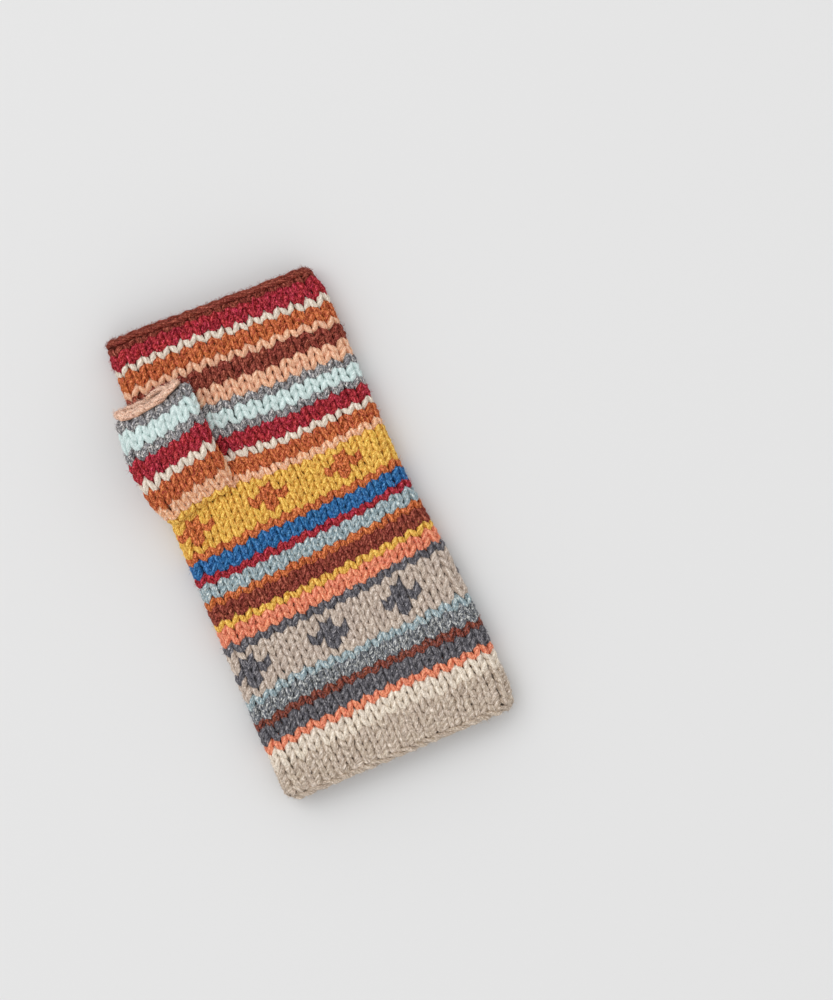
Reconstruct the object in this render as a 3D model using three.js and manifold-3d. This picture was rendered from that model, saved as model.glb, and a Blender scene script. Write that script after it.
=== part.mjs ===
// A hand-knitted wrist warmer for the left hand. It lies flat with its palm side up,
// and its thumb is folded towards the fingers.
// Millimetres. +X runs across the palm, +Y towards the fingers and +Z up, away from what it lies on.
// The origin is on that surface, under the middle of the whole warmer's box.
import * as THREE from 'three';
import { mergeVertices } from 'three/addons/utils/BufferGeometryUtils.js';
import Module from 'manifold-3d';

const wasm = await Module();
wasm.setup();

// Thickness of the knitted fabric, and the gap between pieces that touch
const handWall = 4.2;
const thumbWall = 3.4;
const gap = 0.3;

// The hole for the thumb is this much wider all round than the thumb, whose walls cross it at a
// slant, and this much deeper below the overhang of the thumb's first rounds
const holeRoom = 1.5 * gap;
const holeDrop = 1.5 * gap;
const holeRounds = 3;

// How far a hollow runs on past a tube's open end, so that it is cut clean through
const runOn = 6;

// The bound-off edge at the fingers, the cast-on edge at the wrist and the thumb's bound-off edge:
// how wide each ridge is along the tube that it finishes
const fingerEdgeWidth = 4.4;
const wristEdgeWidth = 4.4;
const thumbEdgeWidth = 3.6;
const edgeSides = 8;

// How far the top layer bulges over the hollow, in the middle of the hand
const handCrown = 0.5;

// Steps across each layer and round each side fold
const handAcross = 14;
const handFold = 6;
const thumbAcross = 7;
const thumbFold = 6;

// The hand's tube, from the finger end to the wrist. y is where a round crosses x = 0, left and
// right are its side folds, height is its top face, and lean is how far it climbs per mm to the right.
const handRounds = [
  { y: 98.1, left: -44.4, right: 48.0, height: 14.8, lean: -0.048 },
  { y: 94.5, left: -44.9, right: 49.7, height: 15.1, lean: -0.058 },
  { y: 88, left: -45.2, right: 50.2, height: 15.3, lean: -0.068 },
  { y: 76, left: -45.8, right: 50.2, height: 15.5, lean: -0.065 },
  { y: 62, left: -46.6, right: 50.2, height: 15.6, lean: -0.052 },
  { y: 48, left: -47.4, right: 50.2, height: 15.6, lean: -0.03 },
  { y: 34, left: -48.2, right: 50.2, height: 15.6, lean: -0.012 },
  { y: 20, left: -48.8, right: 50.3, height: 15.7, lean: 0.008 },
  { y: 6, left: -48.9, right: 50.5, height: 15.8, lean: 0.03 },
  { y: -8, left: -48.9, right: 51.2, height: 15.8, lean: 0.046 },
  { y: -22, left: -49.1, right: 52.5, height: 15.7, lean: 0.045 },
  { y: -36, left: -49.3, right: 53.8, height: 15.6, lean: 0.052 },
  { y: -50, left: -49.5, right: 54.8, height: 15.6, lean: 0.035 },
  { y: -64, left: -49.7, right: 55.2, height: 15.6, lean: 0.018 },
  { y: -78, left: -49.8, right: 55.4, height: 15.7, lean: 0.012 },
  { y: -90, left: -49.7, right: 55.6, height: 15.7, lean: 0 },
  { y: -96, left: -49.4, right: 55.3, height: 15.4, lean: -0.004 },
  { y: -100.1, left: -48.2, right: 54.2, height: 15, lean: -0.005 },
];

// The two ridges that finish the hand, each as the round at the middle of its width
const fingerEdgeRound = { y: 100.6, left: -44.1, right: 46.6, height: 15.5, lean: -0.048 };
const wristEdgeRound = { y: -102.6, left: -46.6, right: 52.8, height: 15.4, lean: -0.005 };

// The thumb's tube, from inside the hand to its mouth. front is the face that shows and back the face
// that lies on the hand, each as y and z at the middle of the thumb. side is how wide its side folds
// are, lean is as for the hand, and sag is how far it hangs 10 mm out past hangFrom.
const thumbRounds = [
  { frontY: 24.4, frontZ: 7, backY: 41.2, backZ: 7, left: -42.8, right: -16.9, side: 5, lean: 0.14, sag: 0 },
  { frontY: 24.6, frontZ: 14.2, backY: 41.2, backZ: 13.4, left: -43, right: -16.6, side: 5, lean: 0.14, sag: 0 },
  { frontY: 25.4, frontZ: 17, backY: 41.7, backZ: 16.4, left: -49, right: -16.4, side: 4.6, lean: 0.15, sag: 3 },
  { frontY: 29.2, frontZ: 21.6, backY: 42.8, backZ: 16.4, left: -51.2, right: -16.7, side: 4.8, lean: 0.17, sag: 3 },
  { frontY: 33.8, frontZ: 25.4, backY: 44.6, backZ: 16.4, left: -53.1, right: -17, side: 5.2, lean: 0.18, sag: 3 },
  { frontY: 41.5, frontZ: 28, backY: 48, backZ: 16.4, left: -54.8, right: -17.3, side: 5.8, lean: 0.18, sag: 3 },
  { frontY: 50, frontZ: 28.7, backY: 53, backZ: 16.4, left: -55.6, right: -17.6, side: 6.1, lean: 0.15, sag: 3 },
  { frontY: 59, frontZ: 28.9, backY: 61.4, backZ: 16.6, left: -55.2, right: -17.6, side: 6.2, lean: 0.11, sag: 3 },
  { frontY: 66, frontZ: 28.8, backY: 69, backZ: 16.6, left: -54.2, right: -17.6, side: 6.2, lean: 0.09, sag: 3 },
  { frontY: 71.6, frontZ: 28.6, backY: 75.4, backZ: 16.6, left: -53.6, right: -18.2, side: 6.2, lean: 0.1, sag: 3 },
];
const thumbEdgeRound = {
  frontY: 73.8, frontZ: 28.7, backY: 77.6, backZ: 16.6, left: -53.4, right: -18.6, side: 6.2, lean: 0.1, sag: 3,
};
const hangFrom = -43;

// A closed outline of a flattened tube: flat below, arched above and half an ellipse at the side
// folds. Its points are (across, up), anticlockwise, with the flat layer first.
function flattenedOutline({ left, right, low, high, side, crown, across, fold }) {
  const half = (high - low) / 2;
  const middle = (low + high) / 2;
  const points = [];
  for (let i = 0; i < across; i += 1) {
    const u = i / across;
    points.push([left + side + u * (right - left - 2 * side), low]);
  }
  for (let i = 0; i < fold; i += 1) {
    const angle = -Math.PI / 2 + (i / fold) * Math.PI;
    points.push([right - side + side * Math.cos(angle), middle + half * Math.sin(angle)]);
  }
  for (let i = 0; i < across; i += 1) {
    const u = i / across;
    const arch = crown * 4 * u * (1 - u);
    points.push([right - side - u * (right - left - 2 * side), high + arch]);
  }
  for (let i = 0; i < fold; i += 1) {
    const angle = Math.PI / 2 + (i / fold) * Math.PI;
    points.push([left + side + side * Math.cos(angle), middle + half * Math.sin(angle)]);
  }
  return points;
}

// One round of the hand, drawn in by inset and moved along the tube by shift
function handRing(round, inset, shift = 0) {
  const outline = flattenedOutline({
    left: round.left + inset,
    right: round.right - inset,
    low: inset,
    high: round.height - inset,
    side: round.height / 2 - inset,
    crown: handCrown,
    across: handAcross,
    fold: handFold,
  });
  return outline.map(([x, z]) => new THREE.Vector3(x, round.y + shift + round.lean * x, z));
}

// One round of the thumb. Its outline is drawn upright and then laid between the back and front points.
function thumbRing(round, inset, shift = 0) {
  const back = new THREE.Vector3(0, round.backY, round.backZ);
  const front = new THREE.Vector3(0, round.frontY, round.frontZ);
  const rise = front.clone().sub(back);
  const thickness = rise.length();
  rise.normalize();
  const along = new THREE.Vector3(0, rise.z, -rise.y);
  const middle = (round.left + round.right) / 2;
  const outline = flattenedOutline({
    left: round.left + inset,
    right: round.right - inset,
    low: inset,
    high: thickness - inset,
    side: round.side - inset,
    crown: 0,
    across: thumbAcross,
    fold: thumbFold,
  });
  return outline.map(([x, up]) => {
    const point = back.clone().addScaledVector(rise, up).addScaledVector(along, shift);
    point.x = x;
    point.y += round.lean * (x - middle);
    point.z -= round.sag * (Math.max(0, hangFrom - x) / 10) ** 2;
    return point;
  });
}

// Skins rings of equal length with triangles. A tube gets an end cap on its first and last ring,
// and a closed ridge is skinned from its last ring back to its first.
function skin(rings, closed) {
  const count = rings[0].length;
  const position = [];
  const index = [];
  rings.flat().forEach((point) => position.push(point.x, point.y, point.z));
  const spans = closed ? rings.length : rings.length - 1;
  for (let r = 0; r < spans; r += 1) {
    const next = (r + 1) % rings.length;
    for (let i = 0; i < count; i += 1) {
      const j = (i + 1) % count;
      const a = r * count + i;
      const b = r * count + j;
      const c = next * count + i;
      const d = next * count + j;
      index.push(a, b, d, a, d, c);
    }
  }
  if (!closed) {
    const last = (rings.length - 1) * count;
    for (let i = 1; i < count - 1; i += 1) {
      index.push(0, i + 1, i);
      index.push(last, last + i, last + i + 1);
    }
  }
  const geometry = new THREE.BufferGeometry();
  geometry.setAttribute('position', new THREE.Float32BufferAttribute(position, 3));
  geometry.setIndex(index);
  return geometry;
}

// A closed geometry as a solid for cutting, its faces turned out if its rings ran the other way
function asSolid(geometry) {
  const merged = mergeVertices(geometry, 1e-5);
  const vertProperties = new Float32Array(merged.attributes.position.array);
  const triVerts = new Uint32Array(merged.index.array);
  if (signedVolume(vertProperties, triVerts) < 0) {
    for (let t = 0; t < triVerts.length; t += 3) {
      const swapped = triVerts[t + 1];
      triVerts[t + 1] = triVerts[t + 2];
      triVerts[t + 2] = swapped;
    }
  }
  return new wasm.Manifold(new wasm.Mesh({ numProp: 3, vertProperties, triVerts }));
}

function signedVolume(places, triangles) {
  const corner = (k) => new THREE.Vector3().fromArray(places, 3 * triangles[k]);
  let total = 0;
  for (let t = 0; t < triangles.length; t += 3) {
    total += corner(t).dot(corner(t + 1).cross(corner(t + 2))) / 6;
  }
  return total;
}

function asGeometry(solid) {
  const mesh = solid.getMesh();
  const geometry = new THREE.BufferGeometry();
  geometry.setAttribute('position', new THREE.BufferAttribute(mesh.vertProperties, 3));
  geometry.setIndex(new THREE.BufferAttribute(mesh.triVerts, 1));
  geometry.computeVertexNormals();
  return geometry;
}

// A tube's outer form drawn in by inset, with its ends carried on by extra
function handForm(inset, extra) {
  const rings = handRounds.map((round) => handRing(round, inset));
  if (extra > 0) {
    rings.unshift(handRing(handRounds[0], inset, extra));
    rings.push(handRing(handRounds.at(-1), inset, -extra));
  }
  return asSolid(skin(rings, false));
}

function thumbForm(inset, extra, count = thumbRounds.length) {
  const rings = thumbRounds.slice(0, count).map((round) => thumbRing(round, inset));
  if (extra > 0) {
    rings.unshift(thumbRing(thumbRounds[0], inset, -extra));
    rings.push(thumbRing(thumbRounds.at(-1), inset, extra));
  }
  return asSolid(skin(rings, false));
}

// A rounded ridge that follows a round: its section is an ellipse as thick as the wall
function ridge(ring, round, wall, width) {
  const rings = [];
  for (let k = 0; k < edgeSides; k += 1) {
    const angle = ((k + 0.5) / edgeSides) * 2 * Math.PI;
    const reach = 1 / Math.cos(Math.PI / edgeSides);
    const inset = wall / 2 - (wall / 2) * reach * Math.cos(angle);
    const shift = (width / 2) * reach * Math.sin(angle);
    rings.push(ring(round, inset, shift));
  }
  return asSolid(skin(rings, true));
}

const handHollow = handForm(handWall, runOn);
const thumbHollow = thumbForm(thumbWall, runOn);

// The hand's tube, with the hole that its thumb comes out of
const thumbHole = thumbForm(-holeRoom, 0);
const roomBelow = thumbForm(-holeRoom, 0, holeRounds).translate([0, 0, -holeDrop]);
const handTube = handForm(0, 0).subtract(handHollow).subtract(thumbHole).subtract(roomBelow);

// The thumb's tube. Its inner end stops where the hand's hollow begins.
const thumbTube = thumbForm(0, 0).subtract(thumbHollow).subtract(handHollow);

const yarns = {
  rust: { color: 0xb9652f, roughness: 0.95, metalness: 0 },
  aqua: { color: 0xc8dedc, roughness: 0.95, metalness: 0 },
  darkBrown: { color: 0x69372f, roughness: 0.95, metalness: 0 },
  oatmeal: { color: 0xb9ac9d, roughness: 0.95, metalness: 0 },
  peach: { color: 0xe4a582, roughness: 0.95, metalness: 0 },
};

const warmer = new THREE.Group();

function addPiece(name, solid, yarn) {
  const piece = new THREE.Mesh(asGeometry(solid), new THREE.MeshStandardMaterial(yarn));
  piece.name = name;
  warmer.add(piece);
}

addPiece('hand_tube', handTube, yarns.rust);
addPiece('thumb_tube', thumbTube, yarns.aqua);
addPiece('finger_edge', ridge(handRing, fingerEdgeRound, handWall, fingerEdgeWidth), yarns.darkBrown);
addPiece('wrist_edge', ridge(handRing, wristEdgeRound, handWall, wristEdgeWidth), yarns.oatmeal);
addPiece('thumb_edge', ridge(thumbRing, thumbEdgeRound, thumbWall, thumbEdgeWidth), yarns.peach);

export default warmer;
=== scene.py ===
# A hand-knitted wrist warmer for the left hand, lying flat with its palm side up.
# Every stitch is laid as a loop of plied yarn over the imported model's forms.
# Tables are in millimetres, and meshes are made in metres.
import math

import bpy
import numpy as np
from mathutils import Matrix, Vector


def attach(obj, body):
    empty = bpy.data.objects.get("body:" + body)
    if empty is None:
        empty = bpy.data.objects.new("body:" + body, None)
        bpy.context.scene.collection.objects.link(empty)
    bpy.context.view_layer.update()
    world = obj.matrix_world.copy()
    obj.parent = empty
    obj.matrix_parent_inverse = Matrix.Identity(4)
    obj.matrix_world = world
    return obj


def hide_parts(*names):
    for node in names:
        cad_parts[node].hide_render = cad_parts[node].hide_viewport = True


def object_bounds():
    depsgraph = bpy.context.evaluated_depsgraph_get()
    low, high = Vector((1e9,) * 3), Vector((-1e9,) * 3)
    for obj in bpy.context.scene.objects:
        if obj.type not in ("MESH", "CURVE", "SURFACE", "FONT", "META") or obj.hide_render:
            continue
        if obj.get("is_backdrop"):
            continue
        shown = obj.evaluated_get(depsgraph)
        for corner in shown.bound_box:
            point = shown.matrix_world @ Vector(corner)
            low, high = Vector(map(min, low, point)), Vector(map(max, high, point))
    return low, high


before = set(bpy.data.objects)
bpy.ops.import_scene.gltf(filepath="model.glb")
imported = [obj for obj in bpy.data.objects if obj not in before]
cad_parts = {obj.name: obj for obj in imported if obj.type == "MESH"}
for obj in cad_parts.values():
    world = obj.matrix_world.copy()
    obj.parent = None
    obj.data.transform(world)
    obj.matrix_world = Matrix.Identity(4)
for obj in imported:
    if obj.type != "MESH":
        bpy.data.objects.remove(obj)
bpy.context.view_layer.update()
chance = np.random.default_rng(11)      # seeded, so that every run is the same
mm = 0.001


def linear(colour):
    # An sRGB hex colour as the linear one that a shader takes
    parts = [int(colour[k:k + 2], 16) / 255 for k in (1, 3, 5)]
    return [c / 12.92 if c <= 0.04045 else ((c + 0.055) / 1.055) ** 2.4 for c in parts] + [1]


def addNode(tree, kind, settings=(), inputs=(), links=()):
    # settings are the node's own, inputs its sockets' values, and links the sockets that feed it
    node = tree.nodes.new(kind)
    for key, value in dict(settings).items():
        setattr(node, key, value)
    for key, value in dict(inputs).items():
        node.inputs[key].default_value = value
    for key, source in dict(links).items():
        tree.links.new(source, node.inputs[key])
    return node


# Wool yarns: the colour, and the colour and share of the flecks in heathered ones. speckle is how
# uneven the carding is, crease how strong the painted shade in the plies' creases and on the yarn's flanks
# is, and hair how fuzzy the yarn is.
yarns = {
    "brown": {"colour": "#974b3f", "fleck": "#c27560", "share": 0.3,
              "speckle": 2.3, "crease": 0.6, "hair": 1.9},
    "crimson": {"colour": "#b33f45", "fleck": "#dd4b69", "share": 0.25,
                "speckle": 2.3, "crease": 0.7, "hair": 1.9},
    "cream": {"colour": "#ede2d4", "speckle": 0.9, "crease": 0.8, "hair": 0.5},
    "orange": {"colour": "#d78354", "fleck": "#b24b44", "share": 0.3,
               "speckle": 2.0, "crease": 1, "hair": 1.2},
    "peach": {"colour": "#efc1a3", "fleck": "#f6d8be", "share": 0.3,
              "speckle": 0.8, "crease": 0.6, "hair": 0.8},
    "blush": {"colour": "#f8dac6", "fleck": "#dcab94", "share": 0.25,
              "speckle": 1.4, "crease": 0.7, "hair": 1.3},
    "pink": {"colour": "#f6c49e", "fleck": "#f7decb", "share": 0.35,
             "speckle": 1.1, "crease": 0.9, "hair": 0.8},
    "grey": {"colour": "#959396", "fleck": "#e2ddd8", "share": 0.35,
             "speckle": 2.3, "crease": 0.6, "hair": 1.6},
    "aqua": {"colour": "#deebe9", "speckle": 0.6, "crease": 0.4, "hair": 0.9},
    "mustard": {"colour": "#f5cf72", "fleck": "#e1a54e", "share": 0.35,
                "speckle": 1.2, "crease": 1, "hair": 0.6},
    "rust": {"colour": "#db8654", "fleck": "#ae5646", "share": 0.25,
             "speckle": 2.1, "crease": 1, "hair": 1.2},
    "blue": {"colour": "#3e7ab0", "fleck": "#71a1ca", "share": 0.25,
             "speckle": 1.9, "crease": 1, "hair": 1.1},
    "lightBlue": {"colour": "#a7b8be", "fleck": "#e3e7e3", "share": 0.35,
                  "speckle": 1.4, "crease": 1, "hair": 0.8},
    "coral": {"colour": "#f4a989", "fleck": "#e07b62", "share": 0.3,
              "speckle": 1.2, "crease": 1, "hair": 0.8},
    "charcoal": {"colour": "#6e6c72", "fleck": "#aeaaac", "share": 0.3,
                 "speckle": 1.9, "crease": 0.7, "hair": 1.6},
    "taupe": {"colour": "#cebfb2", "fleck": "#ede2d9", "share": 0.3,
              "speckle": 1.1, "crease": 0.7, "hair": 0.9},
    "marl": {"colour": "#7d8086", "fleck": "#dbdbd7", "share": 0.4,
             "speckle": 1.8, "crease": 0.8, "hair": 1.5},
    "chestnut": {"colour": "#9c5948", "fleck": "#736467", "share": 0.3,
                 "speckle": 2.4, "crease": 0.8, "hair": 1.8},
    "oatmeal": {"colour": "#ccbdad", "fleck": "#ede1d6", "share": 0.35,
                "speckle": 1.0, "crease": 0.4, "hair": 1.3},
}


def woolYarn(name, dye):
    # Carded wool, spun in plies: quite matt, with a soft halo, and with painted shade in the creases
    # between its plies and on the yarn's flanks
    material = bpy.data.materials.new("wool_" + name)
    material.use_nodes = True
    tree = material.node_tree
    tree.nodes.clear()
    along = addNode(tree, "ShaderNodeAttribute", {"attribute_name": "yarn"})
    paintedLight = addNode(tree, "ShaderNodeAttribute", {"attribute_name": "paintedLight"})
    base = linear(dye["colour"])
    fleck = linear(dye.get("fleck", dye["colour"]))
    speckle, crease = dye["speckle"], dye["crease"]

    # Each pattern's cells to a mm across the yarn, its stretch along it, its place and its detail.
    # A real fibre is 0.03 mm wide, too fine to show, so they are drawn in bunches.
    patterns = {
        "fibres": (4.5, 0.22, (0, 0, 0), 2),    # bunches along the plies, 0.2 mm wide and 1 mm long
        "tufts": (2.6, 0.7, (5, 2, 9), 3),      # lighter or darker specks of the carding, 0.4 mm wide
        "dyeing": (0.13, 1, (3, 8, 4), 1),      # the dye drifts every 8 mm or so
        "flecks": (2.2, 0.4, (7, 3, 1), 2),     # fibres of another shade, 0.4 mm wide and 1.5 mm long
    }
    sources = {"paintedLight": paintedLight.outputs["Fac"]}
    for pattern, (scale, stretch, place, detail) in patterns.items():
        room = addNode(tree, "ShaderNodeMapping", {}, {"Scale": (1, 1, stretch), "Location": place},
                       {"Vector": along.outputs["Vector"]})
        noise = addNode(tree, "ShaderNodeTexNoise", {},
                        {"Scale": scale, "Detail": detail, "Roughness": 0.6},
                        {"Vector": room.outputs["Vector"]})
        sources[pattern] = noise.outputs["Fac"]

    # What each effect reads, between which two values, and what they become
    rare = 0.64 - 0.3 * dye.get("share", 0)
    effects = {
        "flecked": ("flecks", rare, rare + 0.05, 0, 0.9),
        "hue": ("dyeing", 0.3, 0.7, 0.496, 0.504),
        "vivid": ("tufts", 0.35, 0.65, 1.1, 0.94),
        # The painted light sets how much of the painted shade's darker colour is mixed in
        "unshadedShare": ("paintedLight", 0.1, 1, 0, 1),
        "fibreShade": ("fibres", 0.3, 0.7, 0.84, 1.12),
        "tuftShade": ("tufts", 0.35, 0.65, 1 - 0.4 * speckle, 1 + 0.28 * speckle),
        "dyeShade": ("dyeing", 0.3, 0.7, 0.93, 1.05),
        # Painted shade and light: darker in the plies' creases and on the yarn's flanks and inner side,
        # lighter on the crests and stray fibres
        "paintedShade": ("paintedLight", 0.1, 1.6, 1 - 0.34 * crease, 1 + 0.38 * crease),
    }
    made = {}
    for effect, (source, low, high, start, end) in effects.items():
        level = addNode(tree, "ShaderNodeMapRange", {},
                        {"From Min": low, "From Max": high, "To Min": start, "To Max": end},
                        {"Value": sources[source]})
        made[effect] = level.outputs["Result"]

    toned = addNode(tree, "ShaderNodeMixRGB", {}, {"Color1": base, "Color2": fleck},
                    {"Fac": made["flecked"]})
    shifted = addNode(tree, "ShaderNodeHueSaturation", {}, {"Fac": 1},
                      {"Hue": made["hue"], "Saturation": made["vivid"], "Color": toned.outputs["Color"]})
    # Painted shade in the creases and on the flanks: there the colour turns to the dye's colour squared,
    # darker and more vivid, as light that met the dye twice would be
    deep = addNode(tree, "ShaderNodeVectorMath", {"operation": "MULTIPLY"}, {},
                   {0: shifted.outputs["Color"], 1: shifted.outputs["Color"]})
    wool = addNode(tree, "ShaderNodeMixRGB", {}, {},
                   {"Color1": deep.outputs["Vector"], "Color2": shifted.outputs["Color"],
                    "Fac": made["unshadedShare"]})
    total = made["fibreShade"]
    for shade in ("tuftShade", "dyeShade", "paintedShade"):
        total = addNode(tree, "ShaderNodeMath", {"operation": "MULTIPLY"}, {},
                        {0: total, 1: made[shade]}).outputs["Value"]
    coloured = addNode(tree, "ShaderNodeVectorMath", {"operation": "SCALE"}, {},
                       {"Vector": wool.outputs["Color"], "Scale": total})
    bump = addNode(tree, "ShaderNodeBump", {}, {"Strength": 0.7, "Distance": 0.15 * mm},
                   {"Height": sources["fibres"]})
    shader = addNode(tree, "ShaderNodeBsdfPrincipled", {},
                     {"Roughness": 1, "Specular IOR Level": 0.1, "Sheen Weight": 0.2,
                      "Sheen Roughness": 0.6, "Sheen Tint": base},
                     {"Base Color": coloured.outputs["Vector"], "Normal": bump.outputs["Normal"]})
    addNode(tree, "ShaderNodeOutputMaterial", {}, {}, {"Surface": shader.outputs["BSDF"]})
    return material


def table(form, key, at):
    # One column of a form's rounds, on a smooth curve through them. at is 0 at the first round.
    values = np.array(form["rounds"], float)[:, form["columns"].index(key)]
    slopes = np.gradient(values)
    low = np.clip(np.floor(at).astype(int), 0, len(values) - 2)
    f = np.asarray(at, float) - low
    f2, f3 = f * f, f * f * f
    return (values[low] * (2 * f3 - 3 * f2 + 1) + values[low + 1] * (3 * f2 - 2 * f3)
            + slopes[low] * (f3 - 2 * f2 + f) + slopes[low + 1] * (f3 - f2))


def flatTube(left, right, low, high, side, crown, share):
    # A flattened tube's outline at a share of the way round it, from the left fold over the top:
    # across, up, and the way that it faces
    half = (high - low) / 2
    middle = (high + low) / 2
    flat = right - left - 2 * side
    quarter = math.pi / 4 * (side + half)
    far = (share % 1) * (2 * flat + 4 * quarter)
    leftTurn = math.pi - math.pi / 2 * far / quarter
    rightTurn = math.pi / 2 * (1 - (far - quarter - flat) / quarter)
    lastTurn = -math.pi / 2 * (1 + (far - 3 * quarter - 2 * flat) / quarter)
    over = np.clip((far - quarter) / flat, 0, 1)
    under = np.clip((far - 3 * quarter - flat) / flat, 0, 1)
    # The left fold's upper half, the top, the right fold and the underside. The rest is left again.
    part = [far < quarter, far < quarter + flat, far < 3 * quarter + flat,
            far < 3 * quarter + 2 * flat]
    turn = np.select(part, [leftTurn, 0 * far, rightTurn, 0 * far], lastTurn)
    leftFold = left + side + side * np.cos(turn)
    rightFold = right - side + side * np.cos(turn)
    across = np.select(part, [leftFold, left + side + over * flat,
                              rightFold, right - side - under * flat], leftFold)
    fold = middle + half * np.sin(turn)
    up = np.select(part, [fold, high + crown * 4 * over * (1 - over), fold, low + 0 * far], fold)
    none = np.zeros_like(far)
    outAcross = np.cos(turn) / side
    outUp = np.sin(turn) / half
    faceAcross = np.select(part, [outAcross, none, outAcross, none], outAcross)
    faceUp = np.select(part, [outUp, none + 1, outUp, none - 1], outUp)
    length = np.hypot(faceAcross, faceUp)
    return across, up, faceAcross / length, faceUp / length


# The hand's tube from the finger end to the wrist: where each round crosses x = 0, its two side
# folds, its top face, and how far it climbs per mm to the right. slide is how far across the wales
# lie at the wrist, at shares of the way round. It fades out over slideOver mm, up to slideFrom.
hand = {
    "wall": 4.2,                # the knit's thickness
    "insets": (1.5, 2.1),       # how far inside the left and right folds the yarn's middle runs
    "crown": 0.5,               # how much higher the top is in its middle
    "girth": 207,               # round the yarn's middle
    "slide": ((0.05, 0.217, 0.383), (-1.5, -0.5, -3.1)),
    "slideFrom": 20,
    "slideOver": 65,
    "endLoops": (1.2, 2.6),     # mm to a row past the first and last rows, where the edges catch them
    "columns": ("y", "left", "right", "height", "lean"),
    "rounds": [
        (98.1, -44.4, 48.0, 14.8, -0.048),
        (94.5, -44.9, 49.7, 15.1, -0.058),
        (88, -45.2, 50.2, 15.3, -0.068),
        (76, -45.8, 50.2, 15.5, -0.065),
        (62, -46.6, 50.2, 15.6, -0.052),
        (48, -47.4, 50.2, 15.6, -0.03),
        (34, -48.2, 50.2, 15.6, -0.012),
        (20, -48.8, 50.3, 15.7, 0.008),
        (6, -48.9, 50.5, 15.8, 0.03),
        (-8, -48.9, 51.2, 15.8, 0.046),
        (-22, -49.1, 52.5, 15.7, 0.045),
        (-36, -49.3, 53.8, 15.6, 0.052),
        (-50, -49.5, 54.8, 15.6, 0.035),
        (-64, -49.7, 55.2, 15.6, 0.018),
        (-78, -49.8, 55.4, 15.7, 0.012),
        (-90, -49.7, 55.6, 15.7, 0),
        (-96, -49.4, 55.3, 15.4, -0.004),
        (-100.1, -48.8, 54.6, 15, -0.005),
    ],
    "fingerEdge": (100.6, -44.1, 46.6, 15.5, -0.048),
    "wristEdge": (-102.6, -46.6, 52.8, 15.4, -0.005),
}

# How far up the stitches lie from their row's straight line, at each y and each place across
drift = {
    "across": (-45, -30, -15, 0, 15, 30, 45),
    "rows": [
        (98, -2, -1, -0.4, -0.4, -0.4, -0.3, -0.6),
        (90, -2.2, -0.3, 0.4, -0.1, -0.6, -0.1, -1.6),
        (80, -2.1, 0.1, 0.7, 0.2, -0.5, 0.7, -0.7),
        (70, -1.3, 0.1, 0.3, -0.2, -1.2, 0.4, 0),
        (60, -0.4, 0.2, 0, -0.3, -1.7, -0.9, -1.2),
        (50, 0.1, 0.3, 0.4, -0.2, -1.2, -0.7, -0.9),
        (40, 0, 0.5, 0.4, -1, -0.9, -0.3, 0.3),
        (30, -0.5, 0.6, 1.2, -0.4, -0.8, 0.3, 1),
        (20, -1.1, -0.1, 1.4, -0.1, -0.7, 0.6, 1.5),
        (10, -1.1, -1.2, -0.3, -0.8, -1, -0.9, 0.7),
        (0, 0.1, -1.3, -0.7, -0.7, -0.8, -1.3, 0.6),
        (-10, 1.3, -0.2, -0.2, 0, 0.4, 0, 0.9),
        (-20, 1.3, 0.8, -0.3, 0.2, 0.7, 1, 1.4),
        (-30, 1.2, 1, 0.4, 0, 0.3, 1.6, 1.9),
        (-40, 0.9, 1.1, 1.2, 0, 0.4, 1.8, 2.4),
        (-50, -1.9, 1.2, 1.1, -0.9, 0.2, -0.3, 1.2),
        (-60, -2.4, 0.1, 0.5, 0.2, 0.7, -0.1, -0.3),
        (-70, -1.6, -0.4, -0.4, 0.6, 0.7, 0.3, -0.9),
        (-80, -2.7, -0.8, -1.7, -0.8, -0.1, -0.8, -1.1),
        (-88, -4.5, -2.9, -4.2, -2.3, -1.7, -2.5, -1.1),
        (-95, -3.6, -3.2, -3.9, -2.2, -1.9, -2.3, -0.6),
        (-101, 0, 0, 0, 0, 0, 0, 0),
    ],
}

# The waves in a row: how many go round, their climb to a mm along the hand, their start and height
wobbles = [(3, 0.11, 0, 0.22), (7, -0.23, 1, 0.16), (13, 0.4, 2, 0.1)]

# Where the 36 wales below the thumb spread into the 32 above it: from y = start on, over so many mm.
# Each count is shifted round the tube, in wales, and the thumb takes its four next to thumbAt.
gusset = {"below": 36, "above": 32, "start": 24, "over": 32, "shiftBelow": 0.3, "shiftAbove": 2.32,
          "thumbAt": 3}


def drifted(across, y):
    # A row's drift at a place across, read between the table's places
    places = drift["across"]
    rows = np.array(drift["rows"], float)
    held = np.clip(across, places[0], places[-1])
    near = [np.clip(1 - np.abs(held - at) / (places[1] - places[0]), 0, 1) for at in places]
    return sum(n * np.interp(-y, -rows[:, 0], rows[:, k + 1]) for k, n in enumerate(near))


def wobble(share, y):
    # Rows of hand knitting are never quite straight
    angle = 2 * math.pi * share
    return sum(high * np.sin(waves * angle + climb * y + start) for waves, climb, start, high in wobbles)


def onHand(share, y):
    # The middle of the hand's fabric, and the way that it faces
    ys = np.array(hand["rounds"], float)[:, 0]
    at = np.interp(-y, -ys, np.arange(len(ys)))
    inset = hand["wall"] / 2
    height = table(hand, "height", at)
    left = table(hand, "left", at) + hand["insets"][0]
    right = table(hand, "right", at) - hand["insets"][1]
    across, up, faceAcross, faceUp = flatTube(
        left, right, inset, height - inset, height / 2 - inset, hand["crown"], share)
    place = np.stack([across, y + table(hand, "lean", at) * across + drifted(across, y), up], -1)
    return place, np.stack([faceAcross, np.zeros_like(across), faceUp], -1)


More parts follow.
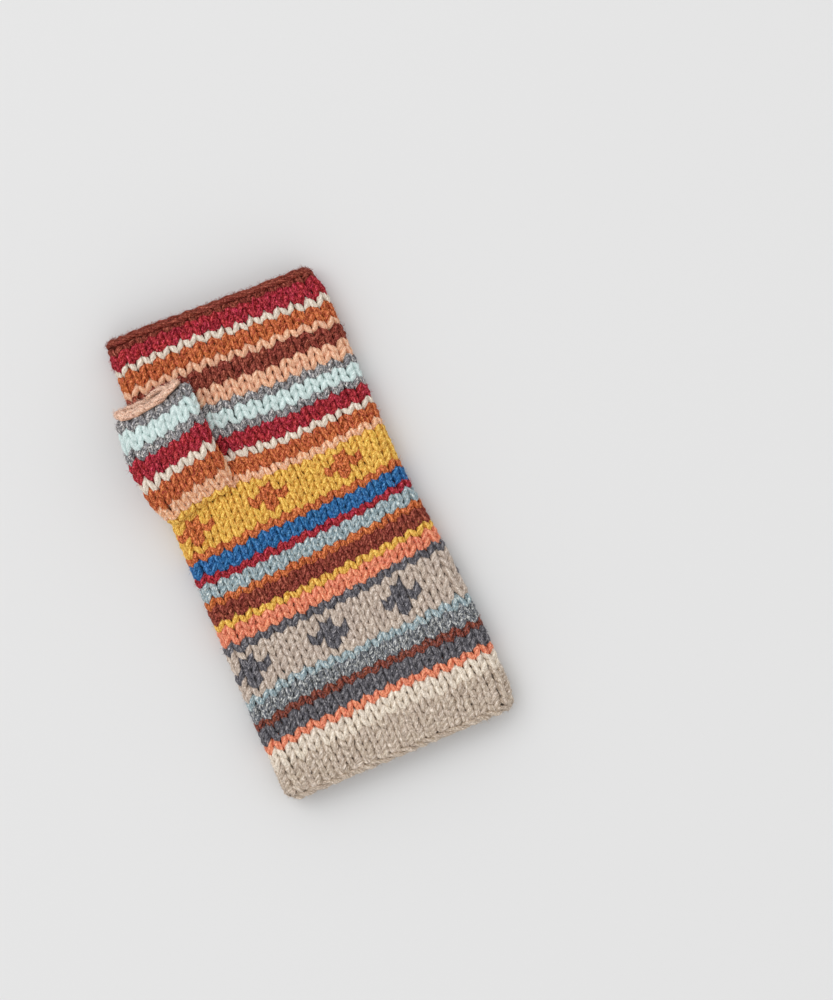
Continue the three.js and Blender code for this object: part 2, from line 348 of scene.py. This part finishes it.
def handSurface(rowMiddles, wales):
    # A function that takes a wale and a row, as numbers, to a place and a facing on the hand
    numbers = np.arange(len(rowMiddles))
    lower, upper = gusset["below"], gusset["above"]
    low, high = gusset["shiftBelow"], gusset["shiftAbove"]
    shortTop, shortFoot = hand["endLoops"]

    def surface(across, along):
        y = np.interp(along, numbers, rowMiddles)
        y = y + np.where(along < 0, -along * shortTop, 0)
        y = y - np.where(along > numbers[-1], (along - numbers[-1]) * shortFoot, 0)
        turned = np.clip((y - gusset["start"]) / gusset["over"], 0, 1)
        turned = turned * turned * (3 - 2 * turned)
        if wales == upper:
            whole = np.floor(across / upper)
            wale = across - upper * whole
            start = gusset["thumbAt"]
            past = start + lower - upper
            below = np.interp(wale, [0, start, upper],
                              [low / lower, (past + low) / lower, 1 + low / lower]) + whole
            above = (across + high) / upper
        else:
            below = (across + low) / lower
            above = (across - (lower - upper) + high) / upper
        share = below + turned * (above - below)
        slid = np.clip((hand["slideFrom"] - y) / hand["slideOver"], 0, 1)
        slid = slid * np.interp(share, *hand["slide"], period=1)
        return onHand(share + slid / hand["girth"], y + wobble(share, y))

    return surface


# The thumb's tube from inside the hand to its mouth: its front and back at the middle, its sides,
# how wide its side folds are, how far a round climbs per mm to the right, and how far it hangs
# 10 mm out past hangFrom. droop is how much more its front hangs there, squint how much more the
# front climbs than the back, and bow how far a round curls up 10 mm from its middle.
thumb = {
    "inset": 2.2,               # from the knit's outside to its middle
    "hangFrom": -43,
    "endLoops": 0.5,            # rounds of the table to a row past the first and last rows
    "mouth": (0, 0.955, 0.297),     # the way out of the open end
    "columns": ("frontY", "frontZ", "backY", "backZ", "left", "right", "side", "lean", "sag", "droop",
                "squint", "bow"),
    "rounds": [
        (23, 7, 41.2, 7, -42.8, -16.9, 5, 0.14, 0, 0, 0, 0),
        (23.2, 12.6, 41.2, 13, -43, -16.6, 5, 0.14, 0, 0, 0, 0),
        (23.6, 15.8, 41.6, 16.2, -49.6, -16.4, 4.6, 0.15, 3, 12, 0, -0.4),
        (27.9, 20, 42.5, 16.4, -52.1, -16.6, 4.7, 0.165, 3, 8, 0, -0.65),
        (33.8, 25.4, 44.6, 16.4, -53.8, -17, 5.2, 0.18, 3, 3, 0, -0.7),
        (41.5, 28, 48, 16.4, -54.6, -17.3, 5.8, 0.18, 3, 0, 0, -0.35),
        (50, 28.7, 53, 16.4, -55.6, -17.6, 6.1, 0.15, 3, 0, 0, 0.2),
        (59, 28.9, 61.4, 16.6, -55.2, -17.6, 6.2, 0.135, 3, 0, 0, 0.45),
        (66, 28.8, 69, 16.6, -54.2, -17.6, 6.2, 0.11, 3, 0, 0.01, 1),
        (70.7, 28.6, 74, 16.6, -53.6, -18.2, 6.2, 0.11, 3, 0, 0.01, 1.3),
        (71.7, 28.7, 76.2, 16.6, -52.6, -21, 6.2, 0.11, 3, 0, 0.018, 1.45),
    ],
}


def thumbPlace(share, at):
    # The middle of the thumb's fabric at a place along its rounds
    read = {key: table(thumb, key, at) for key in thumb["columns"]}
    front = np.stack([read["frontY"], read["frontZ"]], -1)
    back = np.stack([read["backY"], read["backZ"]], -1)
    rise = front - back
    thickness = np.linalg.norm(rise, axis=-1)
    rise = rise / thickness[..., None]
    inset = thumb["inset"]
    across, up, _, _ = flatTube(read["left"] + inset, read["right"] - inset, inset, thickness - inset,
                                read["side"] - inset, 0, share)
    forward = up / thickness
    out = across - (read["left"] + read["right"]) / 2
    y = back[..., 0] + rise[..., 0] * up + (read["lean"] + read["squint"] * (2 * forward - 1)) * out
    y = y + read["bow"] * forward * (out / 10) ** 2
    hang = (np.maximum(0, thumb["hangFrom"] - across) / 10) ** 2
    z = back[..., 1] + rise[..., 1] * up - (read["sag"] + read["droop"] * forward) * hang
    return np.stack([across, y, z], -1)


def thumbFacing(share, at, along):
    # The way out of the thumb's fabric: square to a small step round it and to the way along it
    step = 0.002
    out = np.cross(thumbPlace(share + step, at) - thumbPlace(share - step, at), along)
    return out / np.linalg.norm(out, axis=-1, keepdims=True)


def thumbSurface(across, along):
    # As handSurface's, for the thumb, whose rows are numbered down from 0 at its root
    numbers = np.arange(len(thumbPlaces))
    at = np.interp(-along, numbers, thumbPlaces)
    at = at - np.where(-along < 0, along * thumb["endLoops"], 0)
    at = at + np.where(-along > numbers[-1], (-along - numbers[-1]) * thumb["endLoops"], 0)
    share = across / thumbWales
    # Loops stay short of the table's ends
    at = np.clip(at, 0.05, thumbEnd - 0.4)
    step = 0.03
    ahead = thumbPlace(share, at + step) - thumbPlace(share, at - step)
    return thumbPlace(share, at), thumbFacing(share, at, ahead)


# One stitch, as shares of its own width and height, and the yarn in mm
stitch = {
    "steps": 16,        # lengths of yarn in a stitch
    "lean": 0.22,       # how far the legs lean out
    "reach": 1.02,      # how far the loop reaches up and down
    "depth": 1.55,      # how far the legs stand out of the middle of the fabric, mm
    "tilt": 0.22,       # how far one leg's foot lies over the other's, mm
    "width": 1.28,      # the yarn's radius along the fabric
    "thick": 1.15,      # the yarn's radius through it
    "plump": 0.14,      # how much thicker the legs are than the hidden bends, as a share
    "plies": 4,
    "turns": 7,         # quarter turns of the plies in a stitch
    "crease": 0.08,     # how deep the creases between plies are, as a share of the radius
    "slub": 0.07,       # how much the yarn swells and thins along its length, as a share
    "rough": 0.045,     # how rough the yarn's surface is, as a share of the radius
    "felt": 0.1,        # how much thicker a fuzzy yarn is, and a smooth one thinner
    "press": 0.45,      # how high over the floor the yarn under the fabric flattens, mm
    "uneven": 1.3,      # how much stitches differ from each other
    # How far heads and feet stray: across and along as shares, and out of the fabric in mm
    "headStrays": (0.045, 0.06, 0.1),
    "footStrays": (0.03, 0.05, 0.08),
    "legStrays": 0.1,   # how much the legs' lean differs, as a share
}

# Stray fibres that stand out of the yarn
fuzz = {
    "each": 24,             # fibres to a stitch of yarn whose hair is 1
    "length": (0.9, 2.6),
    "radius": 0.06,         # four times a real one's, which would be too fine to show
    "stand": 0.55,          # how far they stand up rather than lie along the yarn
    "stray": 0.45,          # how far they point any way
    "bend": 0.5,            # how far they turn at the waist
    "fall": 0.35,           # and how far back down
    "outer": 0.25,          # how squarely a yarn's point faces out before fibres root there
    "rooted": 0.1,          # how deep they root, mm
    "floor": 0.1,           # the lowest that they come, mm
    "paintedLight": 1.6,             # how much painted light they get: more than any point on the yarn, so they show lighter
}

# Where the wool's patterns are read, in mm: how far from a yarn's axis, and how far on for each
# strand, so that no two look alike, and the same for stray fibres
grain = {"core": 1.25, "between": 61.7, "halo": 2, "fibre": 7.3}
apart = 4       # how far apart straight strands and fibres lie before they are laid


def deselect():
    bpy.ops.object.select_all(action="DESELECT")


def repeat(piece, offset, count, merged=False):
    # Copies of a mesh in a straight row
    row = piece.modifiers.new("row", "ARRAY")
    row.use_relative_offset = False
    row.use_constant_offset = True
    row.constant_offset_displace = offset
    row.count = count
    row.use_merge_vertices = merged
    row.merge_threshold = 0.01
    bpy.ops.object.modifier_apply(modifier=row.name)


def pointsOf(mesh):
    flat = np.zeros(len(mesh.vertices) * 3)
    mesh.vertices.foreach_get("co", flat)
    return flat.reshape(-1, 3)


def cornersOf(mesh):
    corners = np.zeros(len(mesh.loops), int)
    mesh.loops.foreach_get("vertex_index", corners)
    return corners


def placePoints(mesh, place, coords, paintedLight):
    # Moves the points to their places in mm, with what the wool's patterns read: where a point is
    # in its yarn, and its painted light, which is low in the creases and on the yarn's flanks and inner
    # side
    mesh.vertices.foreach_set("co", (place * mm).ravel())
    mesh.attributes.new("yarn", "FLOAT_VECTOR", "POINT").data.foreach_set("vector", coords.ravel())
    mesh.attributes.new("paintedLight", "FLOAT", "POINT").data.foreach_set("value", paintedLight)


def colourFaces(mesh, colours, strand, number):
    # Each face takes the yarn of its strand and stitch
    used = sorted({colour for row in colours for colour in row})
    for colour in used:
        mesh.materials.append(wools[colour])
    chart = np.array([[used.index(colour) for colour in row] for row in colours])
    mesh.polygons.foreach_set("material_index", chart[strand, number].astype(np.int32))
    mesh.update()


def straightYarn(name, lengths, strands):
    # Straight strands side by side, each of so many lengths that lie along x
    deselect()
    bpy.ops.mesh.primitive_cylinder_add(
        vertices=2 * stitch["plies"], radius=1, depth=1, end_fill_type="NOTHING",
        location=(0.5, 0, 0), rotation=(0, math.pi / 2, 0))
    yarn = bpy.context.object
    yarn.name = yarn.data.name = name
    bpy.ops.object.transform_apply(location=True, rotation=True, scale=True)
    repeat(yarn, (1, 0, 0), lengths, True)
    repeat(yarn, (0, apart, 0), strands)
    return yarn


def layYarn(name, line, facing, colours, closed, size=1.0, hair=1.0):
    # Bends straight strands along their lines. line and facing are (strand, point, xyz), in mm,
    # colours names the yarn of each strand's stitches, and hair is how fuzzy the yarn is.
    strands, points = line.shape[:2]
    steps = stitch["steps"]
    stitches = (points - 1) // steps
    sides = 2 * stitch["plies"]
    yarn = straightYarn(name, points - 1, strands)
    mesh = yarn.data
    straight = pointsOf(mesh)
    step = np.rint(straight[:, 0]).astype(int)
    strand = np.rint(straight[:, 1] / apart).astype(int)
    number = np.minimum(step // steps, stitches - 1)
    angle = np.arctan2(straight[:, 2], straight[:, 1] - apart * strand)
    side = np.rint(angle / (2 * math.pi / sides)).astype(int) % sides

    if closed:
        ahead = np.roll(line[:, :-1], -1, axis=1)
        behind = np.roll(line[:, :-1], 1, axis=1)
        tangent = ahead - behind
        tangent = np.concatenate([tangent, tangent[:, :1]], axis=1)
    else:
        tangent = np.gradient(line, axis=1)
    tangent /= np.linalg.norm(tangent, axis=-1, keepdims=True)
    beside = np.cross(facing, tangent)
    beside /= np.linalg.norm(beside, axis=-1, keepdims=True)
    above = np.cross(tangent, beside)
    run = np.linalg.norm(np.diff(line, axis=1), axis=-1).cumsum(axis=1)
    run = np.concatenate([np.zeros((strands, 1)), run], axis=1)
    far = run[strand, step]

    # The plies wind round the yarn, so every other point is on a crest, and the rest in a crease
    own = side * 2 * math.pi / sides
    theta = own + stitch["turns"] * math.pi / 2 * step / steps
    crest = side % 2 == 0
    # It swells in waves of about 9 and 3 mm
    phase = chance.uniform(0, 6.3, (2, strands))[:, strand]
    slub = stitch["slub"] * (np.sin(0.7 * far + phase[0]) + 0.6 * np.sin(1.9 * far + phase[1]))
    # Fuzzy yarns are rough all over, and a little thicker
    hairs = np.array([[yarns[colour]["hair"] for colour in row] for row in colours])
    hairy = hairs[strand, number]
    slub = slub + stitch["felt"] * (hairy - 1)
    slub = slub + stitch["rough"] * hairy ** 1.5 * chance.normal(0, 1, len(far))
    if closed:
        # It comes to nothing over four lengths where the ends of a round meet
        slub = slub * np.minimum(1, np.minimum(step, points - 1 - step) / 4)
    plump = (1 + slub) * (1 - stitch["plump"] * np.cos(4 * math.pi * step / steps))
    radius = size * plump * np.where(crest, 1 + stitch["crease"], 1 - stitch["crease"])
    place = (line[strand, step]
             + (radius * stitch["width"] * np.cos(theta))[:, None] * beside[strand, step]
             + (radius * stitch["thick"] * np.sin(theta))[:, None] * above[strand, step])
    # The yarn that lies on the floor is pressed flat there
    press = stitch["press"]
    low = place[:, 2] < press
    place[low, 2] = press * np.exp((place[low, 2] - press) / press)

    core, between = grain["core"], grain["between"]
    coords = np.stack([core * np.cos(own), core * np.sin(own), far + between * strand], -1)
    # Painted light and shade: the crests and the yarn's side facing out of the fabric get the most light,
    # and the creases, flanks and side facing into it get painted shade
    placePoints(mesh, place, coords, 0.45 * crest + 0.2 + 0.35 * np.sin(theta))
    corners = cornersOf(mesh).reshape(-1, 4)
    colourFaces(mesh, colours, strand[corners[:, 0]], number[corners].min(axis=1))

    bpy.ops.object.shade_smooth()
    bpy.ops.object.mode_set(mode="EDIT")
    bpy.ops.mesh.select_all(action="SELECT")
    if closed:
        bpy.ops.mesh.remove_doubles(threshold=1e-6)
    else:
        bpy.ops.mesh.fill_holes(sides=sides)
    bpy.ops.object.mode_set(mode="OBJECT")
    middle, out = line[strand, step], facing[strand, step]
    ahead = line[strand, np.minimum(step + 1, points - 1)] - middle
    fibres = strayFibres(name, place, middle, ahead, out, hairy, int(hairs.sum() * fuzz["each"] * hair))
    colourFaces(fibres["mesh"], colours, strand[fibres["roots"]], number[fibres["roots"]])
    bpy.ops.object.shade_smooth()
    yarn.select_set(True)
    bpy.context.view_layer.objects.active = yarn
    bpy.ops.object.join()
    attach(yarn, "root")
    return yarn


def strayFibres(name, place, middle, ahead, facing, hairy, count):
    # Each a closed spindle with a bend at its waist, standing out of the yarn's outer faces.
    # The points of the yarn come with its middle there, the way ahead, and the fabric's facing.
    deselect()
    bpy.ops.mesh.primitive_cone_add(vertices=3, radius1=1, radius2=0, depth=2, end_fill_type="TRIFAN")
    piece = bpy.context.object
    piece.name = piece.data.name = name + "_fuzz"
    repeat(piece, (apart, 0, 0), count)
    mesh = piece.data
    straight = pointsOf(mesh)
    fibre = np.rint(straight[:, 0] / apart).astype(int)
    aside = straight[:, 0] - apart * fibre
    around = np.arctan2(straight[:, 1], aside)
    # The three points of the cone's rim become the waist, and the two on its axis the ends
    height = np.where(np.hypot(aside, straight[:, 1]) > 0.5, 0, straight[:, 2])

    away = place - middle
    away /= np.linalg.norm(away, axis=-1, keepdims=True)
    outer = np.flatnonzero((away * facing).sum(axis=-1) > fuzz["outer"])
    likely = hairy[outer]
    root = chance.choice(outer, count, p=likely / likely.sum())
    away = away[root]
    ahead = ahead[root]
    ahead /= np.linalg.norm(ahead, axis=-1, keepdims=True) + 1e-9
    start = place[root] - fuzz["rooted"] * away
    stand = fuzz["stand"] * (0.4 + chance.random((count, 1)) * 1.2)
    along = chance.normal(0, 1, (count, 1)) * ahead
    way = stand * away + along + chance.normal(0, fuzz["stray"], (count, 3))
    way /= np.linalg.norm(way, axis=-1, keepdims=True)
    bend = way + chance.normal(0, fuzz["bend"], (count, 3)) - fuzz["fall"] * away
    bend /= np.linalg.norm(bend, axis=-1, keepdims=True)
    length = chance.uniform(*fuzz["length"], (count, 1)) / 2
    waist = start + way * length
    tip = waist + bend * length
    beside = np.cross(way, away + 0.01)
    beside /= np.linalg.norm(beside, axis=-1, keepdims=True) + 1e-9
    other = np.cross(way, beside)
    ends = np.where(height[:, None] > 0, tip[fibre], start[fibre])
    ring = waist[fibre] + fuzz["radius"] * (np.cos(around)[:, None] * beside[fibre]
                                            + np.sin(around)[:, None] * other[fibre])
    where = np.where(height[:, None] == 0, ring, ends)
    where[:, 2] = np.maximum(where[:, 2], fuzz["floor"])
    coords = np.stack([grain["halo"] + 0 * around, around, grain["fibre"] * fibre + height], -1)
    placePoints(mesh, where, coords, np.full(len(around), fuzz["paintedLight"]))
    first = np.zeros(len(mesh.polygons), int)
    mesh.polygons.foreach_get("loop_start", first)
    return {"mesh": mesh, "roots": root[fibre[cornersOf(mesh)[first]]]}


def stitchLines(rows, wales, surface, first=0, closed=True):
    # The yarn's centre lines through rows of stitches. surface gives a place and a facing for a wale
    # and a row, and each stitch leans, stretches and swells a little in its own way.
    steps = stitch["steps"]
    uneven = stitch["uneven"]
    count = len(rows)
    point = np.arange(wales * steps + 1)
    wale = np.minimum(point // steps, wales - 1)
    t = -math.pi + 2 * math.pi * (point - wale * steps) / steps
    head = chance.normal(0, uneven, (count, wales, 3)) * stitch["headStrays"]
    foot = chance.normal(0, uneven, (count, wales + 1, 3)) * stitch["footStrays"]
    legs = 1 + chance.normal(0, stitch["legStrays"] * uneven, (count, wales, 2))
    if closed:
        foot[:, -1] = foot[:, 0]
    atHead = (1 + np.cos(t)) / 2
    near = foot[:, wale + (t > 0)]
    moved = atHead[None, :, None] * head[:, wale] + (1 - atHead)[None, :, None] * near
    leg = legs[:, wale, (t > 0).astype(int)]
    across = first + wale + 0.5 + t / (2 * math.pi) + stitch["lean"] * leg * np.sin(2 * t) + moved[..., 0]
    along = np.array(rows, float)[:, None] - stitch["reach"] * np.cos(t) - moved[..., 1]
    place, facing = surface(across, along)
    # The fabric is stretched flatter round its side folds
    lift = -stitch["depth"] * np.cos(2 * t) + stitch["tilt"] * np.sin(2 * t) + moved[..., 2]
    lift = lift * (0.5 + 0.5 * np.abs(facing[..., 2]))
    return place + facing * lift[..., None], facing


# The edges. A chain's links reach along it, in links, and have a half width and a rise. A twist is
# two strands wound round each other, with the same two. turn tips the edge from the tube's end
# towards its outside, off is how far it stands off the ridge's middle, inset how far it lies inside
# the tube's outline, and uneven how much links differ. size is the yarn's thickness and fuzz its
# stray fibres, as times the rows'.
edges = {
    "finger_chain": {
        "kind": "chain", "links": 32, "reach": 0.92, "half": 0.95, "rise": 0.4, "turn": 34,
        "off": 0.4, "inset": 1.3, "yarn": "brown", "size": 0.8, "uneven": 0.12, "fuzz": 3},
    "wrist_twist": {
        "kind": "twist", "links": 18, "half": 0.85, "rise": 0.7, "turn": 40,
        "off": 0.0, "inset": 1.6, "yarn": "oatmeal", "size": 0.81, "fuzz": 1},
    "thumb_chain": {
        "kind": "chain", "links": 14, "reach": 0.85, "half": 1.0, "rise": 0.5, "turn": 8,
        "off": -0.2, "yarn": "blush", "size": 0.86, "uneven": 0.2, "fuzz": 4},
}


def handRing(edge, inset):
    # A function for the middle of a ridge of the hand, and its facing, at a share of the way round
    y, left, right, height, lean = edge

    def ring(share):
        across, up, faceAcross, faceUp = flatTube(
            left + inset, right - inset, inset, height - inset, height / 2 - inset, hand["crown"], share)
        place = np.stack([across, y + lean * across, up], -1)
        return place, np.stack([faceAcross, 0 * across, faceUp], -1)

    return ring


def thumbRing(share):
    return thumbPlace(share, thumbEnd), thumbFacing(share, thumbEnd, thumb["mouth"])


def edging(name, ring, outward):
    # A chain or a twist round an open end, which is towards the fingers where outward is 1
    form = edges[name]
    steps = stitch["steps"]
    links = form["links"]
    chained = form["kind"] == "chain"
    if chained:
        t = np.linspace(-math.pi, math.pi, steps + 1)
        link = np.arange(links)[:, None]
        uneven = chance.normal(0, form["uneven"], (links, 3))
        share = (link + 0.5 + form["reach"] * (1 + uneven[:, :1]) * np.cos(t)) / links
        wide = form["half"] * (1 + 2 * uneven[:, 1:2]) * np.sin(t)
        rise = -form["rise"] * np.cos(2 * t) + 2 * uneven[:, 2:]
        colours = [[form["yarn"]]] * links
    else:
        # It is wound looser in some places than in others
        far = np.arange(links * steps + 1) / steps
        share = np.stack([far, far]) / links
        angle = 2 * math.pi * share
        loose = 1 + 0.15 * np.sin(angle * 5) + 0.1 * np.sin(angle * 11 + 1)
        turned = 2 * math.pi * far + np.array([[0], [math.pi]]) + 0.5 * np.sin(angle * 7)
        wide = form["half"] * loose * np.cos(turned)
        rise = form["rise"] * loose * np.sin(turned)
        colours = [[form["yarn"]] * links] * 2
    place, facing = ring(share)
    tangent = ring(share + 0.001)[0] - place
    tangent /= np.linalg.norm(tangent, axis=-1, keepdims=True)
    end = np.cross(facing, tangent)
    end *= outward * np.sign(end[..., 1:2])
    turn = math.radians(form["turn"])
    face = math.cos(turn) * end + math.sin(turn) * facing
    side = -math.sin(turn) * end + math.cos(turn) * facing
    line = place + end * form["off"] + side * wide[..., None] + face * rise[..., None]
    return layYarn(name, line, face, colours, True, form["size"], form["fuzz"])


print("camera and light")
# The camera looks straight down from far off, over a view so many mm tall
view = {"middle": (50.0, -7.9), "turn": -23.3, "tall": 420.0, "lens": 200.0, "top": 15.5}
bpy.ops.object.camera_add()
camera = bpy.context.object
camera.data.lens = view["lens"]
above = view["tall"] * view["lens"] / camera.data.sensor_width
camera.location = (view["middle"][0] * mm, view["middle"][1] * mm, (view["top"] + above) * mm)
camera.rotation_euler = (0, 0, math.radians(view["turn"]))
bpy.context.scene.camera = camera
bpy.context.scene.view_settings.view_transform = "Standard"

# Even light from all round, and a wide soft lamp above. Its place and size are in metres.
studio = {"sky": 0.86, "lampPower": 64.0, "lampSize": 3.4, "lampPlace": (-1.5, 1.8, 3.8)}
world = bpy.data.worlds.new("studio")
world.use_nodes = True
world.node_tree.nodes["Background"].inputs["Color"].default_value = (1, 1, 1, 1)
world.node_tree.nodes["Background"].inputs["Strength"].default_value = studio["sky"]
bpy.context.scene.world = world
bpy.ops.object.light_add(type="AREA", location=studio["lampPlace"])
lamp = bpy.context.object
lamp.data.energy = studio["lampPower"]
lamp.data.size = studio["lampSize"]
lamp.rotation_euler = (-lamp.location).to_track_quat("-Z", "Y").to_euler()

deselect()
bpy.ops.mesh.primitive_plane_add(size=6)
floor = bpy.context.object
floor.name = "floor"
# Matt pale paper, which gives the eye an even ground with soft shadows and no gloss
paper = bpy.data.materials.new("paper_floor")
paper.use_nodes = True
paper.node_tree.nodes["Principled BSDF"].inputs["Base Color"].default_value = linear("#dcdcdc")
paper.node_tree.nodes["Principled BSDF"].inputs["Roughness"].default_value = 0.9
floor.data.materials.append(paper)
floor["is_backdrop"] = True

print("yarns")
wools = {name: woolYarn(name, dye) for name, dye in yarns.items()}

print("hand")
# The rows of the hand from the fingers down, in groups that are a piece each. top and bottom are
# the group's heights at x = 0, and each stripe is its yarn and its rows. Where the thumb leaves the
# hand, the rows run only from one wale to another.
bands = [
    {"piece": "finger_row", "top": 101.2, "bottom": 98.6, "wales": 32, "stripes": [("brown", 1)]},
    {"piece": "finger_stripes", "top": 98.6, "bottom": 62.5, "wales": 32,
     "stripes": [("crimson", 2), ("cream", 1), ("orange", 2), ("peach", 1), ("brown", 2), ("peach", 2)]},
    {"piece": "knuckle_stripes", "top": 62.5, "bottom": 40.8, "wales": 32,
     "stripes": [("grey", 1), ("aqua", 2), ("grey", 1), ("crimson", 2)]},
    {"piece": "thumb_gap_stripes", "top": 40.8, "bottom": 26.4, "wales": 36, "from": 5, "to": 37,
     "stripes": [("cream", 1), ("orange", 2), ("pink", 1)]},
    {"piece": "gold_star_band", "top": 26.4, "bottom": 9.4, "wales": 36,
     "stripes": [("mustard", 5)], "star": "rust"},
    {"piece": "palm_stripes", "top": 9.4, "bottom": -14.72, "wales": 36,
     "stripes": [("rust", 1), ("blue", 2), ("crimson", 1), ("lightBlue", 2), ("rust", 1)]},
    {"piece": "coral_stripes", "top": -14.72, "bottom": -35.4, "wales": 36,
     "stripes": [("brown", 2), ("mustard", 1), ("coral", 2), ("charcoal", 1)]},
    {"piece": "taupe_star_band", "top": -35.4, "bottom": -54.5, "wales": 36,
     "stripes": [("taupe", 5)], "star": "charcoal"},
    {"piece": "heel_stripes", "top": -54.5, "bottom": -84.9, "wales": 36,
     "stripes": [("lightBlue", 1), ("marl", 2), ("chestnut", 1), ("charcoal", 2), ("coral", 1),
                 ("cream", 2)]},
    {"piece": "wrist_band", "top": -84.9, "bottom": -101.4, "wales": 36, "stripes": [("oatmeal", 5)]},
]

# The star's rows over six wales, from the fingers down
starChart = ["......", ".x....", "xxx...", ".x....", "......"]

rowMiddles = []
for band in bands:
    band["rows"] = [yarn for yarn, count in band["stripes"] for _ in range(count)]
    band["first"] = len(rowMiddles)
    high = (band["top"] - band["bottom"]) / len(band["rows"])
    rowMiddles += [band["top"] - (k + 0.5) * high for k in range(len(band["rows"]))]
for band in bands:
    rows = np.arange(band["first"], band["first"] + len(band["rows"]))
    start, stop = band.get("from", 0), band.get("to", band["wales"])
    closed = "from" not in band
    surface = handSurface(rowMiddles, band["wales"])
    line, facing = stitchLines(rows, stop - start, surface, start, closed)
    colours = [[yarn] * (stop - start) for yarn in band["rows"]]
    if "star" in band:
        for row, motif in zip(colours, starChart):
            for wale in range(len(row)):
                if motif[wale % len(motif)] == "x":
                    row[wale] = band["star"]
    piece = layYarn(band["piece"], line, facing, colours, closed)
    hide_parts("hand_tube")

print("thumb")
# The thumb's rows from its root to its mouth: the yarn, and the front's y
thumbRows = [
    ("mustard", 25.7), ("pink", 28.0), ("pink", 31.2), ("orange", 35.0), ("orange", 39.1), ("cream", 43.6),
    ("crimson", 47.9), ("crimson", 51.9), ("grey", 56.0), ("aqua", 60.2), ("aqua", 63.9), ("grey", 67.6),
]
thumbWales = 14
frontYs = np.array(thumb["rounds"])[:, 0]
thumbEnd = np.array(len(frontYs) - 1.0)
thumbPlaces = np.interp([y for _, y in thumbRows], frontYs, np.arange(len(frontYs)))
line, facing = stitchLines(-np.arange(len(thumbRows)), thumbWales, thumbSurface)
colours = [[yarn] * thumbWales for yarn, _ in thumbRows]
# The palm's mustard runs on into the thumb's front only
colours[0][thumbWales // 2 - 1:] = [thumbRows[1][0]] * (thumbWales // 2 + 1)
piece = layYarn("thumb_stripes", line, facing, colours, True)
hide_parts("thumb_tube")

print("edges")
fingerRing = handRing(hand["fingerEdge"], edges["finger_chain"]["inset"])
wristRing = handRing(hand["wristEdge"], edges["wrist_twist"]["inset"])
for name, ring, outward, node, finish in (
    ("finger_chain", fingerRing, 1, "finger_edge", "brown_wool"),
    ("wrist_twist", wristRing, -1, "wrist_edge", "oatmeal_wool"),
    ("thumb_chain", thumbRing, 1, "thumb_edge", "peach_wool"),
):
    piece = edging(name, ring, outward)
    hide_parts(node)

low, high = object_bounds()
